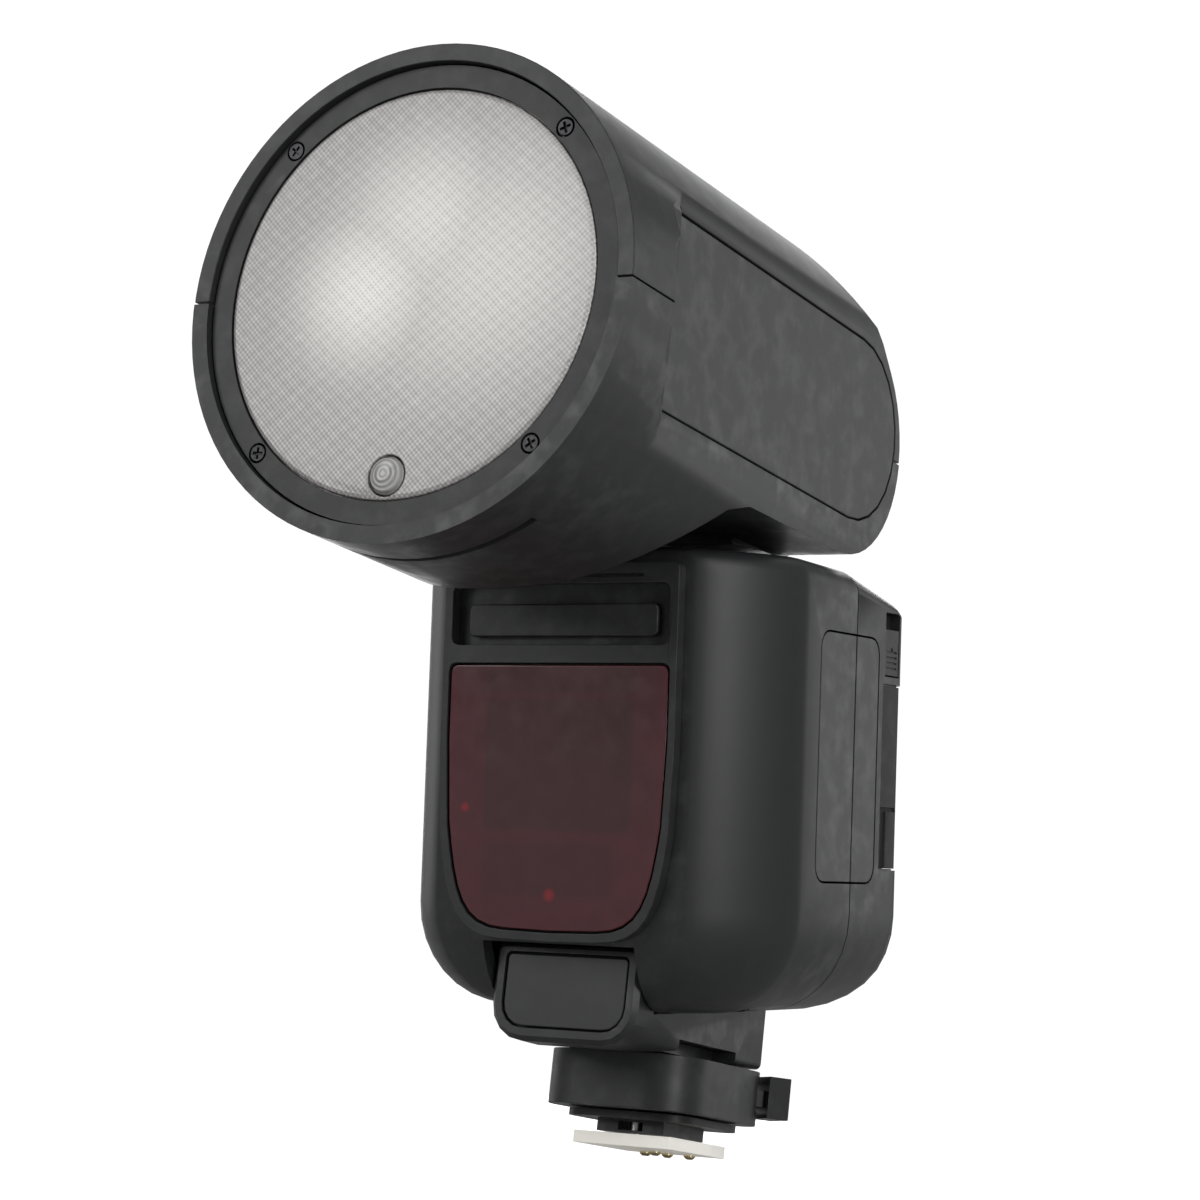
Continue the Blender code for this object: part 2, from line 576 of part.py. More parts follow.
def head_front(world):
    axis = (0.0, HEAD_Z)
    lamp = (0.0, HEAD_Z - LAMP_DROP)
    bezel = put("front_bezel", tube("y", axis, 31.9, HEAD_R - HEAD_WALL - GAP, BEZEL_Y, BEZEL_Y + 1.0, 96),
                world, "trim")
    for index, degrees in enumerate((45, 135, 225, 315)):
        angle = math.radians(degrees)
        spot = (SCREW_CIRCLE * math.cos(angle), HEAD_Z + SCREW_CIRCLE * math.sin(angle))
        hole = rod("y", spot, 1.6, BEZEL_Y - 2, BEZEL_Y + 3, 16)
        carve(bezel, put(f"bezel_screw_hole_{index}", hole, world))
        screw = [(1.3, BEZEL_Y), (1.3, BEZEL_Y + 0.4), (0.75, BEZEL_Y + 1.1), (0.75, BEZEL_Y + 6.0)]
        put(f"bezel_screw_{index + 1}", turn(screw, "y", spot, 16), world, "screws")
    glass = [(31.0, -99.9), (31.6, -99.6), (31.6, -98.4), (32.6, -98.4), (32.6, -97.2)]
    lens = put("flash_lens", turn(glass, "y", axis, 96), world, "lens")
    carve(lens, put("lamp_hole", rod("y", lamp, 3.2, -103, -90, 24), world))
    dome = [(1.2, -101.0), (2.4, -100.6), (2.9, -99.8), (2.9, -97.2)]
    put("modelling_lamp_lens", turn(dome, "y", lamp, 24), world, "lens")
    put("modelling_lamp_board", box((-2, -96.6, lamp[1] - 2), (2, -95.2, lamp[1] + 2)), world, "board")
    put("magnet_ring", tube("y", axis, 30.5, 32.9, -94.9, -93.2, 48), world, "steel")


def zoom_carriage(world):
    axis = (0.0, HEAD_Z)
    bowl = [(26.0, -90.0), (22.5, -78.0), (16.0, -69.0), (8.0, -64.6), (8.0, -63.6), (16.8, -67.6),
            (23.8, -77.0), (27.3, -90.0)]
    put("reflector", turn(bowl, "y", axis, 32, ring=True), world, "reflector")
    plate = circle(axis, CARRIAGE_R, 28)
    holder = put("zoom_carriage", extrude(plate, "y", -62.8, -60.8), world, "trim")
    ear = rounded((-4.2, HEAD_Z + 15.0), (4.2, HEAD_Z + SCREW_RISE + 3.4), [0.5, 0.5, 3.0, 3.0], 3)
    carve(holder, put("carriage_ear", extrude(ear, "y", -62.8, -60.8), world), operation="UNION")
    screw_axis = (0.0, HEAD_Z + SCREW_RISE)
    carve(holder, put("nut_bore", rod("y", screw_axis, 1.8, -70, -50, 20), world))
    put("flash_tube", turn([(1.6, -11.5), (2.2, -10.9), (2.2, 10.9), (1.6, 11.5)], "x", (-73.5, HEAD_Z), 20),
        world, "lens", origin=(0, -73.5, HEAD_Z))
    put("lead_screw", rod("y", screw_axis, 1.5, -88.0, -40.2, 20), world, "steel",
        origin=(0, -60, screw_axis[1]))
    put("zoom_motor", rod("y", screw_axis, 3.6, -39.8, -30.5, 24), world, "steel")


def build():
    clear_scene()
    world = frame_empty("world_frame")
    frame = frame_empty("body_frame", lean=LEAN)
    shells = body_shells(frame)
    chest(frame)
    battery(frame)
    rear_controls(frame, shells["rear_shell"])
    ports(frame, shells["rear_shell"])
    electronics(frame)
    turntable(frame)
    bore = foot(world)
    lock_collar(world, bore)
    base_housing(world, frame)
    head_shells(world)
    head_front(world)
    zoom_carriage(world)


build()
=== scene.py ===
"""Looks, light and camera for the speedlight flash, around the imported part.

Lengths are written in millimetres and become metres when a mesh is made. The control body leans
forward over its foot: its pieces are drawn in a leaned frame, x across, v to the back, w up.
"""
import json
import math

import bmesh
import bpy
from mathutils import Matrix, Vector

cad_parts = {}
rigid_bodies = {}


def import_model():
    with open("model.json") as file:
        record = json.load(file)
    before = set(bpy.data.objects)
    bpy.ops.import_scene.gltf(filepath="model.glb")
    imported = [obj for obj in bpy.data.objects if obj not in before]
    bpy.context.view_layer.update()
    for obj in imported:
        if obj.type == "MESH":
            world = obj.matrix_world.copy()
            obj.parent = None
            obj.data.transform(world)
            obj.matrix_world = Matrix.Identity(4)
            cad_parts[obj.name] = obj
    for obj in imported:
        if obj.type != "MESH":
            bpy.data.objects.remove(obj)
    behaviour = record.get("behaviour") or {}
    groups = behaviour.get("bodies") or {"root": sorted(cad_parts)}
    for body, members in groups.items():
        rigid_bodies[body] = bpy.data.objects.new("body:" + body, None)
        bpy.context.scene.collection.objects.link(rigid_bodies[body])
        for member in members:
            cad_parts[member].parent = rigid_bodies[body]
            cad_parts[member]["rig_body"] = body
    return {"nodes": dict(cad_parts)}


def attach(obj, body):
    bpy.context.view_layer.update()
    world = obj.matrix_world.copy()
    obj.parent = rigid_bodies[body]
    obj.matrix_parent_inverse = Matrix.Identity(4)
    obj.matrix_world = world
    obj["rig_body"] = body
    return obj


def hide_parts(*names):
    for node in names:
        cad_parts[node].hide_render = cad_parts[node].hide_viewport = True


for leftover in list(bpy.data.objects):
    bpy.data.objects.remove(leftover, do_unlink=True)

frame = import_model()
bpy.context.view_layer.update()

MM = 0.001
LEAN = math.radians(8.0)
LEANED = Matrix.Rotation(LEAN, 4, "X")
AXIS = Vector((0.0, 0.0, 117.64))  # centre of the round head and its lens
CREASE = math.radians(32.0)        # edges sharper than this stay crisp or get a soft bevel
SCREW_RING = 33.7                  # radius of the circle of the four ring screws
LAMP_DROP = 28.0                   # from the lens's centre down to the modelling lamp's
LENS_REACH = 0.038                 # metres, the radius that the lens's painted glow is measured in
LENSLET = 0.00043                  # metres, half the repeat of the lens's fine square grid
NODE_BODY = {name: item["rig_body"] for name, item in frame["nodes"].items()}


# ---------------------------------------------------------------- node helpers

class Look:
    """A node material under construction: each call adds one node and returns its output."""

    def __init__(self, name):
        self.material = bpy.data.materials.new(name)
        self.material.use_nodes = True
        self.tree = self.material.node_tree
        self.shader = self.tree.nodes["Principled BSDF"]
        self.place = self.add("ShaderNodeTexCoord").outputs["Object"]

    def add(self, kind, **settings):
        node = self.tree.nodes.new(kind)
        for key, value in settings.items():
            setattr(node, key, value)
        return node

    def feed(self, socket, value):
        if isinstance(value, bpy.types.NodeSocket):
            self.tree.links.new(value, socket)
        else:
            socket.default_value = value

    def set(self, **values):
        for key, value in values.items():
            self.feed(self.shader.inputs[key.replace("_", " ")], value)

    def noise(self, scale, detail=3.0, roughness=0.55, vector=None):
        node = self.add("ShaderNodeTexNoise")
        self.feed(node.inputs["Vector"], vector or self.place)
        self.feed(node.inputs["Scale"], scale)
        self.feed(node.inputs["Detail"], detail)
        self.feed(node.inputs["Roughness"], roughness)
        return node.outputs["Fac"]

    def math(self, operation, a, b=0.0):
        node = self.add("ShaderNodeMath", operation=operation)
        for socket, value in zip(node.inputs, (a, b)):
            self.feed(socket, value)
        return node.outputs[0]

    def spread(self, value, low, high, to_low=0.0, to_high=1.0, smooth=False):
        node = self.add("ShaderNodeMapRange")
        if smooth:
            node.interpolation_type = "SMOOTHSTEP"
        for socket, number in zip(node.inputs, (value, low, high, to_low, to_high)):
            self.feed(socket, number)
        return node.outputs[0]

    def mix(self, share, a, b):
        node = self.add("ShaderNodeMix", data_type="RGBA")
        colours = [socket for socket in node.inputs if socket.type == "RGBA"]
        self.feed(node.inputs[0], share)
        self.feed(colours[0], (*a, 1.0) if isinstance(a, tuple) else a)
        self.feed(colours[1], (*b, 1.0) if isinstance(b, tuple) else b)
        return [socket for socket in node.outputs if socket.type == "RGBA"][0]

    def bump(self, height, distance, strength):
        node = self.add("ShaderNodeBump")
        self.feed(node.inputs["Height"], height)
        self.feed(node.inputs["Distance"], distance)
        self.feed(node.inputs["Strength"], strength)
        return node.outputs["Normal"]

    def distance(self, a, b):
        """Length of the flat vector (a, b)."""
        squares = (self.math("MULTIPLY", part, part) for part in (a, b))
        return self.math("SQRT", self.math("ADD", *squares))

    def edges(self):
        """How much an edge stands proud: about 0 on flats and 1 on sharp outer edges."""
        node = self.add("ShaderNodeNewGeometry")
        return self.spread(node.outputs["Pointiness"], 0.515, 0.58)

    def axes(self):
        node = self.add("ShaderNodeSeparateXYZ")
        self.feed(node.inputs[0], self.place)
        return node.outputs


def plastic(name, base, roughness, grain=5200.0, depth=0.000012, wear=0.3, spread=0.006):
    """Moulded plastic: spark-eroded grain, faint cloudiness, polished and greyed outer edges."""
    look = Look(name)
    cloud = look.noise(70.0, 4.0)
    fine = look.noise(grain, 2.0, 0.6)
    dark = tuple(0.97 * part for part in base)
    pale = tuple(1.03 * part for part in base)
    colour = look.mix(look.spread(cloud, 0.3, 0.7), dark, pale)
    speck = look.mix(look.spread(fine, 0.35, 0.75, 0.0, 0.35), colour, tuple(1.6 * part for part in base))
    worn = look.math("MULTIPLY", look.edges(), look.spread(look.noise(260.0, 3.0), 0.45, 0.7, 0.0, wear))
    look.set(Base_Color=look.mix(worn, speck, tuple(min(0.22, 2.6 * part + 0.03) for part in base)))
    dull = look.spread(look.noise(190.0, 5.0), 0.3, 0.7, roughness - spread, roughness + spread)
    look.set(Roughness=look.math("SUBTRACT", dull, look.math("MULTIPLY", worn, 0.35)))
    look.set(Normal=look.bump(fine, depth, 0.7))
    look.shader.inputs["Specular IOR Level"].default_value = 0.42
    return look.material


def metal(name, base, roughness, streak=(1.0, 1.0, 1.0), scale=1800.0):
    look = Look(name)
    stretched = look.add("ShaderNodeMapping")
    look.feed(stretched.inputs["Vector"], look.place)
    look.feed(stretched.inputs["Scale"], streak)
    brushed = look.noise(scale, 4.0, 0.6, stretched.outputs[0])
    cloud = look.noise(120.0, 3.0)
    look.set(Base_Color=look.mix(look.spread(cloud, 0.3, 0.7), tuple(0.8 * part for part in base), base))
    look.set(Roughness=look.spread(brushed, 0.3, 0.7, roughness - 0.08, roughness + 0.12))
    look.set(Normal=look.bump(brushed, 0.000006, 0.6))
    look.shader.inputs["Metallic"].default_value = 1.0
    return look.material


def ivory_look():
    look = Look("satin_ivory")
    cloud = look.noise(240.0, 4.0)
    scratch = look.noise(2400.0, 3.0, 0.6)
    look.set(Base_Color=look.mix(look.spread(cloud, 0.3, 0.7), (0.90, 0.875, 0.80), (0.95, 0.93, 0.87)))
    look.set(Roughness=look.spread(scratch, 0.3, 0.7, 0.26, 0.44))
    look.set(Normal=look.bump(scratch, 0.000008, 0.5))
    look.shader.inputs["Coat Weight"].default_value = 0.2
    # painted light: the plate glows faintly, though it is no lamp
    look.shader.inputs["Emission Color"].default_value = (1.0, 0.97, 0.9, 1.0)
    look.shader.inputs["Emission Strength"].default_value = 0.22
    return look.material


def lens_look():
    """Prismatic diffuser: a square grid of tiny lenslets, with painted light from the bowl behind it: a
    painted glow, painted shade towards the rim and painted highlights along the grid.
    """
    look = Look("prismatic_lens")
    x, _, z = look.axes()
    across = look.math("DIVIDE", x, LENS_REACH)
    up = look.math("DIVIDE", look.math("SUBTRACT", z, AXIS.z * MM), LENS_REACH)
    far = look.distance(across, up)
    # painted glow: three soft pools of the bowl's light, painted into the lens's colour
    lobes = []
    for centre, size in (((-0.20, 0.02), 0.46), ((0.04, 0.30), 0.55), ((0.40, 0.10), 0.8)):
        dx = look.math("SUBTRACT", across, centre[0])
        dz = look.math("SUBTRACT", up, centre[1])
        gap = look.distance(dx, dz)
        lobes.append(look.spread(gap, 0.0, size, 1.0, 0.0, smooth=True))
    painted_glow = look.math("MAXIMUM", lobes[0], look.math("MULTIPLY", lobes[1], 0.75))
    painted_glow = look.math("MAXIMUM", painted_glow, look.math("MULTIPLY", lobes[2], 0.62))
    pitch = math.pi / LENSLET
    rows = look.math("COSINE", look.math("MULTIPLY", z, pitch))
    columns = look.math("COSINE", look.math("MULTIPLY", x, pitch))
    grid = look.math("MULTIPLY", rows, columns)
    bands = look.math("COSINE", look.math("MULTIPLY", z, math.pi / 0.0012))
    stripes = look.math("COSINE", look.math("MULTIPLY", x, math.pi / 0.0017))
    coarse = look.math("MULTIPLY", bands, stripes)
    # painted shade: the lens darker towards its rim
    base = look.mix(look.spread(far, 0.3, 0.84), (0.52, 0.505, 0.49), (0.36, 0.342, 0.34))
    base = look.mix(painted_glow, base, (0.98, 0.965, 0.925))
    # painted highlights and painted shade along the lenslet grid
    lenslet_highlight_and_shade = look.math("ADD", look.math("MULTIPLY", grid, 0.24), look.math("MULTIPLY", coarse, 0.07))
    blotch = look.spread(look.noise(420.0, 2.0), 0.3, 0.75, 0.0, 0.14)
    tone = look.math("ADD", lenslet_highlight_and_shade, blotch)
    base = look.mix(look.math("MAXIMUM", tone, 0.0), base, (0.97, 0.96, 0.93))
    shade = look.math("MAXIMUM", look.math("MULTIPLY", lenslet_highlight_and_shade, -1.4), 0.0)
    look.set(Base_Color=look.mix(shade, base, (0.22, 0.21, 0.205)))
    look.set(Normal=look.bump(grid, 0.00007, 0.6))
    look.set(Roughness=look.spread(look.noise(900.0, 2.0), 0.3, 0.7, 0.16, 0.3))
    look.shader.inputs["Coat Weight"].default_value = 0.5
    look.shader.inputs["Coat Roughness"].default_value = 0.06
    return look.material


def clear_look():
    """Clear moulded optic for the little modelling lamp, with its turned rings."""
    look = Look("clear_optic")
    x, _, z = look.axes()
    dz = look.math("SUBTRACT", z, (AXIS.z - LAMP_DROP) * MM)
    far = look.distance(x, dz)
    rings = look.math("SINE", look.math("MULTIPLY", far, math.tau / 0.00075))
    look.set(Base_Color=look.mix(look.spread(rings, -1.0, 1.0), (0.5, 0.5, 0.48), (0.9, 0.9, 0.87)))
    look.set(Normal=look.bump(rings, 0.00014, 0.8))
    look.set(Roughness=look.spread(look.noise(700.0, 2.0), 0.3, 0.7, 0.04, 0.12))
    look.shader.inputs["Transmission Weight"].default_value = 0.45
    look.shader.inputs["Coat Weight"].default_value = 1.0
    return look.material


def leaned_axes(look):
    """Position in the leaned frame of the control body: across, back and up."""
    turned = look.add("ShaderNodeVectorRotate", rotation_type="X_AXIS")
    look.feed(turned.inputs["Vector"], look.place)
    look.feed(turned.inputs["Angle"], -LEAN)
    split = look.add("ShaderNodeSeparateXYZ")
    look.feed(split.inputs[0], turned.outputs[0])
    return split.outputs


def frame_mask(look, x, w, centre, half, soft):
    """1 inside a soft-edged rectangle, 0 outside. Lengths in millimetres."""
    dx = look.math("ABSOLUTE", look.math("SUBTRACT", x, centre[0] * MM))
    dw = look.math("ABSOLUTE", look.math("SUBTRACT", w, centre[1] * MM))
    a = look.spread(dx, (half[0] - soft) * MM, (half[0] + soft) * MM, 1.0, 0.0, smooth=True)
    b = look.spread(dw, (half[1] - soft) * MM, (half[1] + soft) * MM, 1.0, 0.0, smooth=True)
    return look.math("MULTIPLY", a, b)


def red_look():
    """Dark red infrared filter. The sensor's mask and two emitters show faintly through it."""
    look = Look("red_filter")
    x, _, w = leaned_axes(look)
    cloud = look.spread(look.noise(150.0, 3.0), 0.3, 0.7)
    base = look.mix(cloud, (0.058, 0.007, 0.011), (0.072, 0.009, 0.014))
    inner = frame_mask(look, x, w, (0.5, 62.5), (13.5, 10.5), 0.8)
    base = look.mix(look.math("MULTIPLY", inner, 0.5), base, (0.030, 0.009, 0.010))
    upper = frame_mask(look, x, w, (0.0, 75.8), (14.0, 2.0), 0.7)
    base = look.mix(look.math("MULTIPLY", upper, 0.4), base, (0.034, 0.009, 0.010))
    lower = frame_mask(look, x, w, (-1.0, 46.0), (12.0, 4.4), 1.2)
    base = look.mix(look.math("MULTIPLY", lower, 0.5), base, (0.036, 0.008, 0.010))
    rim = frame_mask(look, x, w, (0.0, 58.0), (18.4, 30.0), 0.5)
    outside = look.math("SUBTRACT", 1.0, rim)
    base = look.mix(look.math("MULTIPLY", outside, 0.6), base, (0.075, 0.005, 0.013))
    for centre, size in (((-16.4, 55.5), 1.1), ((-0.2, 42.0), 1.5)):
        dx = look.math("SUBTRACT", x, centre[0] * MM)
        dw = look.math("SUBTRACT", w, centre[1] * MM)
        gap = look.distance(dx, dw)
        spot = look.spread(gap, 0.1 * MM, size * MM, 0.45, 0.0, smooth=True)
        base = look.mix(spot, base, (0.42, 0.008, 0.02))
    look.set(Base_Color=base)
    look.set(Roughness=look.spread(look.noise(300.0, 4.0), 0.3, 0.7, 0.16, 0.26))
    look.set(Normal=look.bump(look.noise(60.0, 2.0), 0.00006, 0.3))
    look.shader.inputs["Coat Weight"].default_value = 0.35
    look.shader.inputs["Coat Roughness"].default_value = 0.18
    return look.material


def glossy_dark(name, base, roughness=0.1):
    look = Look(name)
    smudge = look.noise(110.0, 5.0)
    look.set(Base_Color=look.mix(look.spread(smudge, 0.3, 0.7), tuple(0.8 * part for part in base), base))
    look.set(Roughness=look.spread(smudge, 0.35, 0.7, roughness, roughness + 0.12))
    look.set(Normal=look.bump(look.noise(45.0, 2.0), 0.00004, 0.25))
    return look.material


def board_look():
    look = Look("circuit_board")
    tracks = look.add("ShaderNodeTexBrick")
    look.feed(tracks.inputs["Vector"], look.place)
    look.feed(tracks.inputs["Scale"], 260.0)
    look.feed(tracks.inputs["Color1"], (0.010, 0.085, 0.035, 1.0))
    look.feed(tracks.inputs["Color2"], (0.014, 0.11, 0.045, 1.0))
    look.feed(tracks.inputs["Mortar"], (0.05, 0.2, 0.08, 1.0))
    look.set(Base_Color=tracks.outputs["Color"])
    look.set(Roughness=look.spread(look.noise(400.0), 0.3, 0.7, 0.3, 0.45))
    look.set(Normal=look.bump(tracks.outputs["Fac"], 0.00003, 0.5))
    return look.material


LOOKS = {
    "shell": plastic("shell_plastic", (0.0205, 0.0212, 0.0222), 0.44),
    "trim": plastic("trim_plastic", (0.0165, 0.017, 0.018), 0.46, 4600.0),
    "keys": plastic("key_rubber", (0.046, 0.046, 0.048), 0.6, 6400.0, 0.000008, 0.2),
    "rubber": plastic("port_rubber", (0.024, 0.024, 0.025), 0.66, 3600.0, 0.000014, 0.2),
    "cell": plastic("battery_plastic", (0.0225, 0.023, 0.024), 0.42, 5600.0, 0.000008),
    "red_window": red_look(),
    "dark_window": glossy_dark("dark_acrylic", (0.030, 0.036, 0.038)),
    "lamp_window": plastic("lamp_window_plastic", (0.011, 0.0115, 0.0125), 0.36, 3000.0, 0.000005, 0.1),
    "lens": lens_look(),
    "optic": clear_look(),
    "reflector": metal("bright_bowl", (0.88, 0.88, 0.86), 0.2),
    "steel": metal("brushed_steel", (0.56, 0.56, 0.57), 0.3, (1.0, 0.12, 1.0)),
    "screws": metal("black_screw", (0.045, 0.045, 0.047), 0.34),
    "foot_metal": ivory_look(),
    "contacts": metal("gold_contact", (0.93, 0.80, 0.52), 0.24),
    "board": board_look(),
}


# ---------------------------------------------------------------- mesh helpers

def make(name, shape, body, look, stands_for=(), leaned=False, bevel=0.0):
    """Turn a shape in millimetres into a finished piece riding on a body."""
    bmesh.ops.recalc_face_normals(shape, faces=shape.faces)
    shape.transform(Matrix.Scale(MM, 4))
    if leaned:
        shape.transform(LEANED)
    mesh = bpy.data.meshes.new(name)
    shape.to_mesh(mesh)
    shape.free()
    piece = bpy.data.objects.new(name, mesh)
    bpy.context.scene.collection.objects.link(piece)
    dress(piece, look, bevel)
    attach(piece, body)
    if stands_for:
        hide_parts(*stands_for)
    return piece


def dress(piece, look, bevel):
    piece.data.materials.clear()
    piece.data.materials.append(LOOKS[look])
    piece.data.shade_smooth()
    piece.data.set_sharp_from_angle(angle=CREASE)
    if bevel:
        edge = piece.modifiers.new("soft edges", "BEVEL")
        edge.width = bevel * MM
        edge.segments = 2
        edge.limit_method = "ANGLE"
        edge.angle_limit = CREASE
        edge.harden_normals = True
        edge.use_clamp_overlap = True


def welded(node):
    """The CAD node's mesh with its facets joined up again, in millimetres."""
    shape = bmesh.new()
    shape.from_mesh(frame["nodes"][node].data)
    bmesh.ops.remove_doubles(shape, verts=shape.verts, dist=0.002 * MM)
    bmesh.ops.dissolve_limit(shape, angle_limit=math.radians(0.25), verts=shape.verts, edges=shape.edges)
    shape.transform(Matrix.Scale(1.0 / MM, 4))
    return shape


def refine(node, look, bevel):
    return make(node + "_finished", welded(node), NODE_BODY[node], look, (node,), bevel=bevel)


def prism(outline, low, high, axis="y"):
    """Closed prism of a flat outline, in millimetres, between two levels along an axis."""
    order = {"x": (2, 0, 1), "y": (0, 2, 1), "z": (0, 1, 2)}[axis]
    shape = bmesh.new()
    rows = []
    for level in (low, high):
        row = []
        for a, b in outline:
            point = (a, b, level)
            row.append(shape.verts.new([point[part] for part in order]))
        rows.append(row)
    count = len(outline)
    for i in range(count):
        j = (i + 1) % count
        shape.faces.new((rows[0][i], rows[0][j], rows[1][j], rows[1][i]))
    for row in rows:
        shape.faces.new(row)
    bmesh.ops.recalc_face_normals(shape, faces=shape.faces)
    return shape


def slab(a, b, axis, low, high):
    """Rectangular prism from the two flat corners a and b."""
    return prism([(a[0], a[1]), (b[0], a[1]), (b[0], b[1]), (a[0], b[1])], low, high, axis)


def cut(piece, shape, leaned=False):
    """Carve a shape in millimetres out of a finished piece, ahead of its soft edges."""
    bmesh.ops.recalc_face_normals(shape, faces=shape.faces)
    shape.transform(Matrix.Scale(MM, 4))
    if leaned:
        shape.transform(LEANED)
    mesh = bpy.data.meshes.new("cutter")
    shape.to_mesh(mesh)
    shape.free()
    cutter = bpy.data.objects.new("cutter", mesh)
    bpy.context.scene.collection.objects.link(cutter)
    kept = bpy.data.objects.new("blank", piece.data)
    bpy.context.scene.collection.objects.link(kept)
    step = kept.modifiers.new("carve", "BOOLEAN")
    step.object = cutter
    step.solver = "EXACT"
    bpy.context.view_layer.update()
    graph = bpy.context.evaluated_depsgraph_get()
    carved = bpy.data.meshes.new_from_object(kept.evaluated_get(graph))
    carved.name = piece.data.name
    piece.data = carved
    bpy.data.objects.remove(kept, do_unlink=True)
    bpy.data.objects.remove(cutter, do_unlink=True)
    carved.shade_smooth()
    carved.set_sharp_from_angle(angle=CREASE)


def ring_points(centre, radius, steps):
    return [(centre[0] + radius * math.cos(math.tau * i / steps),
             centre[1] + radius * math.sin(math.tau * i / steps)) for i in range(steps)]


# ---------------------------------------------------------------- pieces

# each CAD node by its look, with the width of its soft edges
refined = {
    "shell": {"front_shell": 0.35, "rear_shell": 0.5, "chest_bezel": 0.45, "turntable": 0.25,
              "neck_post": 0.5, "base_housing": 0.5, "lock_collar": 0.6, "head_upper_shell": 0.5,
              "head_lower_shell": 0.5, "head_side_panel_left": 0.25, "head_side_panel_right": 0.25},
    "trim": {"accessory_cover": 0.3, "battery_cradle": 0.1, "screen_module": 0.1, "front_bezel": 0.2,
             "zoom_carriage": 0.2, "foot_riser": 0.2, "lock_lever": 0.4},
    "keys": {"function_key_1": 0.35, "function_key_2": 0.35, "function_key_3": 0.35, "function_key_4": 0.35,
             "mode_button": 0.35, "menu_button": 0.35, "test_button": 0.35, "power_switch": 0.3,
             "dial_ring": 0.3, "set_button": 0.3, "battery_latch": 0.25},
    "red_window": {"sensor_window": 0.25},
    "dark_window": {"screen_window": 0.2},
    "lens": {"flash_lens": 0.3, "flash_tube": 0.1},
    "reflector": {"reflector": 0.1},
    "steel": {"usb_socket": 0.1, "sync_socket": 0.1, "tilt_axle": 0.2, "locking_pin": 0.1,
              "magnet_ring": 0.1, "lead_screw": 0.1, "zoom_motor": 0.3},
    "screws": {"base_screw_left": 0.15, "base_screw_right": 0.15, "bezel_screw_1": 0.1,
               "bezel_screw_2": 0.1, "bezel_screw_3": 0.1, "bezel_screw_4": 0.1},
    "foot_metal": {"foot_plate": 0.15},
    "contacts": {"contact_pin_1": 0.08, "contact_pin_2": 0.08, "contact_pin_3": 0.08,
                 "contact_pin_4": 0.08},
    "board": {"sensor_board": 0.05, "main_board": 0.05, "modelling_lamp_board": 0.05},
    "rubber": {"port_cover": 0.35},
    "cell": {"battery": 0.3, "flash_capacitor": 0.4},
}
made = {}
for look, nodes in refined.items():
    for node, bevel in nodes.items():
        made[node] = refine(node, look, bevel)
refine("modelling_lamp_lens", "optic", 0.1)
refine("focus_lamp_window", "lamp_window", 0.25)


def cross(piece, centre, low, high, half, thick, turn_by, axis="y"):
    """Cut a cross recess into a screw's head."""
    for quarter in (0.0, math.pi / 2):
        angle = turn_by + quarter
        ahead = Vector((math.cos(angle), math.sin(angle)))
        aside = Vector((-ahead.y, ahead.x))
        corners = ((-half, -thick), (half, -thick), (half, thick), (-half, thick))
        outline = [tuple(Vector(centre) + ahead * a + aside * b) for a, b in corners]
        cut(piece, prism(outline, low, high, axis))


for index, degrees in enumerate((45, 135, 225, 315)):
    angle = math.radians(degrees)
    spot = (SCREW_RING * math.cos(angle), AXIS.z + SCREW_RING * math.sin(angle))
    cross(made[f"bezel_screw_{index + 1}"], spot, -101.0, -99.25, 0.85, 0.17, 0.35 + 0.6 * index)

# seam on the battery's face, in line with the shells' parting
cut(made["battery"], slab((0.86, 40.0), (1.14, 92.0), "x", 34.75, 36.0), leaned=True)
# finger step and thumb ridge on the ports' cover, a pip on the latch
cut(made["port_cover"], slab((10.0, 57.4), (18.2, 58.1), "x", 34.2, 36.5), leaned=True)
cut(made["port_cover"], slab((10.0, 47.0), (14.2, 58.0), "x", 34.3, 36.5), leaned=True)
cut(made["battery_latch"], prism(ring_points((14.9, 84.2), 0.45, 16), 34.5, 36.0, "x"), leaned=True)
for step in range(4):
    low = 81.0 + 0.9 * step
    cut(made["battery_latch"], slab((12.9, low), (16.9, low + 0.35), "x", 34.55, 36.0), leaned=True)
# dark liners behind two gaps, so that no light leaks through the shells
for side in (-1, 1):
    low, high = sorted((side * 21.0, side * 31.2))
    seal = slab((low, -40.0), (high, 2.2), "z", AXIS.z - 0.13, AXIS.z + 0.13)
    make(f"head_seam_liner_{(side + 3) // 2}", seal, "head", "trim")
for index, level in enumerate((47.71, 78.23)):
    corner = [(30.0, 12.0), (34.6, 12.0), (34.6, 17.5), (33.2, 20.2), (30.5, 21.3)]
    seal = prism(corner, level, level + 0.24, "z")
    make(f"port_gap_liner_{index + 1}", seal, "body", "trim", leaned=True)
# hook slot above the little front cover
cut(made["chest_bezel"], slab((-15.0, 92.4), (15.0, 92.9), "y", -35.8, -34.9), leaned=True)


# ---------------------------------------------------------------- camera, light, floor

def aim(item, location, target):
    item.location = location
    item.rotation_euler = (Vector(target) - Vector(location)).to_track_quat("-Z", "Y").to_euler()


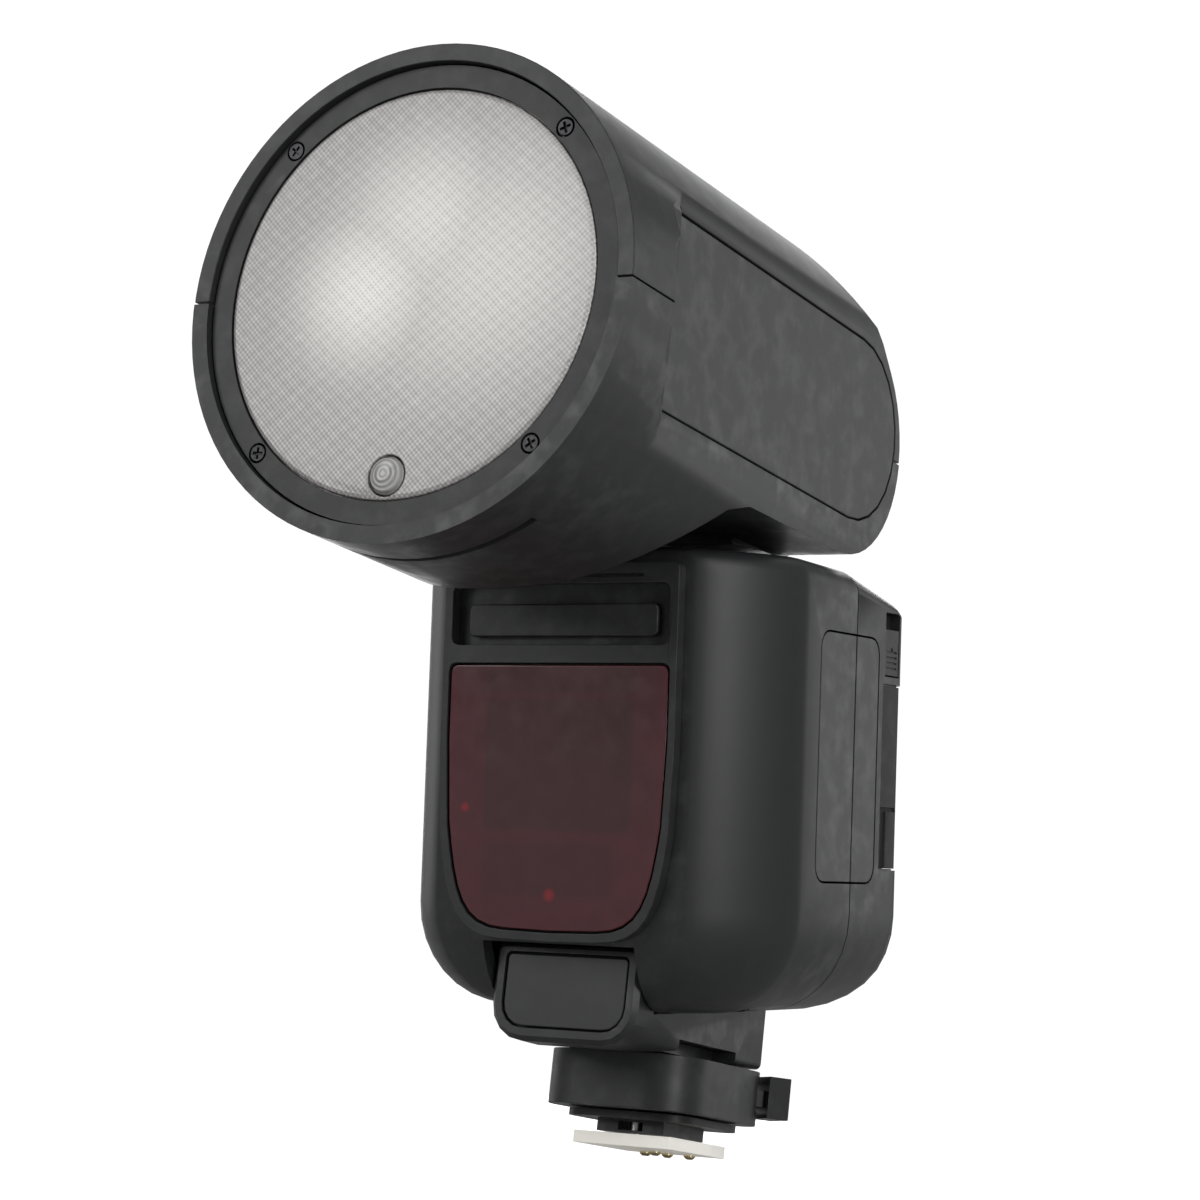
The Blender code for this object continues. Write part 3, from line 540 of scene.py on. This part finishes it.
def photographer():
    """Camera where the photograph was taken from: right of the front, below, slightly rolled."""
    azimuth, elevation, roll = (math.radians(part) for part in (30.46, -11.315, 6.065))
    back = Vector((math.sin(azimuth) * math.cos(elevation), -math.cos(azimuth) * math.cos(elevation),
                   math.sin(elevation)))
    level = Vector((math.cos(azimuth), math.sin(azimuth), 0.0))
    upward = back.cross(level)
    right = math.cos(roll) * level + math.sin(roll) * upward
    above = math.cos(roll) * upward - math.sin(roll) * level
    lens = bpy.data.cameras.new("camera")
    lens.sensor_width = 36.0
    lens.lens = 100.245
    lens.clip_start = 0.01
    lens.clip_end = 50.0
    camera = bpy.data.objects.new("camera", lens)
    bpy.context.scene.collection.objects.link(camera)
    place = Vector((0.0, 0.0, 95.0)) - 17.94 * right - 1.255 * above + 573.43 * back
    turn = Matrix((right, above, back)).transposed().to_4x4()
    camera.matrix_world = Matrix.Translation(place * MM) @ turn
    bpy.context.scene.camera = camera


def lamp(name, location, target, size, power):
    light = bpy.data.lights.new(name, "AREA")
    light.shape = "RECTANGLE"
    light.size, light.size_y = size
    light.energy = power
    item = bpy.data.objects.new(name, light)
    bpy.context.scene.collection.objects.link(item)
    aim(item, location, target)


def studio():
    """White backdrop for the camera, dim light from all around, and six soft lamps."""
    world = bpy.data.worlds.new("studio")
    bpy.context.scene.world = world
    world.use_nodes = True
    bpy.context.scene.view_settings.view_transform = "Standard"
    tree = world.node_tree
    sky = tree.nodes["Background"]
    sky.inputs["Color"].default_value = (1.0, 1.0, 1.0, 1.0)
    sky.inputs["Strength"].default_value = 0.22
    seen = tree.nodes.new("ShaderNodeBackground")
    seen.inputs["Color"].default_value = (1.0, 1.0, 1.0, 1.0)
    seen.inputs["Strength"].default_value = 1.05
    rays = tree.nodes.new("ShaderNodeLightPath")
    blend = tree.nodes.new("ShaderNodeMixShader")
    tree.links.new(rays.outputs["Is Camera Ray"], blend.inputs[0])
    tree.links.new(sky.outputs[0], blend.inputs[1])
    tree.links.new(seen.outputs[0], blend.inputs[2])
    tree.links.new(blend.outputs[0], tree.nodes["World Output"].inputs["Surface"])
    middle = (0.0, -0.03, 0.08)
    lamp("strip_key", (0.90, -0.54, 0.30), middle, (0.16, 0.95), 5.6)
    lamp("rear_side", (0.55, 0.92, 0.22), middle, (0.55, 0.9), 1.9)
    lamp("front_fill", (-0.60, -1.0, 0.50), middle, (0.6, 0.8), 4.6)
    lamp("overhead", (0.05, 0.1, 1.1), middle, (0.7, 0.7), 2.6)
    lamp("back_fill", (-0.55, 1.05, 0.45), middle, (0.8, 0.8), 7.0)
    lamp("left_rim", (-0.95, 0.25, 0.3), middle, (0.4, 0.8), 1.2)


def floor():
    """Pale floor that only just touches the foot, falling away gently towards the front."""
    shape = bmesh.new()
    half_side = 3.0
    fall = Vector((0.269, -0.493, 0.0)).normalized()
    slope = math.tan(math.radians(3.2))
    for a, b in ((-1, -1), (1, -1), (1, 1), (-1, 1)):
        point = Vector((a * half_side, b * half_side, 0.0))
        shape.verts.new((point.x, point.y, -0.0011 - slope * point.dot(fall)))
    shape.faces.new(shape.verts)
    mesh = bpy.data.meshes.new("floor")
    shape.to_mesh(mesh)
    shape.free()
    piece = bpy.data.objects.new("floor", mesh)
    bpy.context.scene.collection.objects.link(piece)
    look = Look("floor_paper")
    fibre = look.noise(900.0, 4.0)
    look.set(Base_Color=look.mix(look.spread(fibre, 0.3, 0.7), (0.44, 0.44, 0.44), (0.47, 0.47, 0.47)))
    look.set(Normal=look.bump(fibre, 0.00002, 0.2))
    look.shader.inputs["Roughness"].default_value = 0.9
    shine = look.add("ShaderNodeEmission")
    shine.inputs["Strength"].default_value = 0.92
    # only the camera sees the paper glow, so that it stays as white as the backdrop
    both = look.add("ShaderNodeAddShader")
    seen = look.add("ShaderNodeMixShader")
    look.feed(both.inputs[0], look.shader.outputs[0])
    look.feed(both.inputs[1], shine.outputs[0])
    look.feed(seen.inputs[0], look.add("ShaderNodeLightPath").outputs["Is Camera Ray"])
    look.feed(seen.inputs[1], look.shader.outputs[0])
    look.feed(seen.inputs[2], both.outputs[0])
    look.feed(look.tree.nodes["Material Output"].inputs["Surface"], seen.outputs[0])
    mesh.materials.append(look.material)


photographer()
studio()
floor()

bpy.context.view_layer.update()
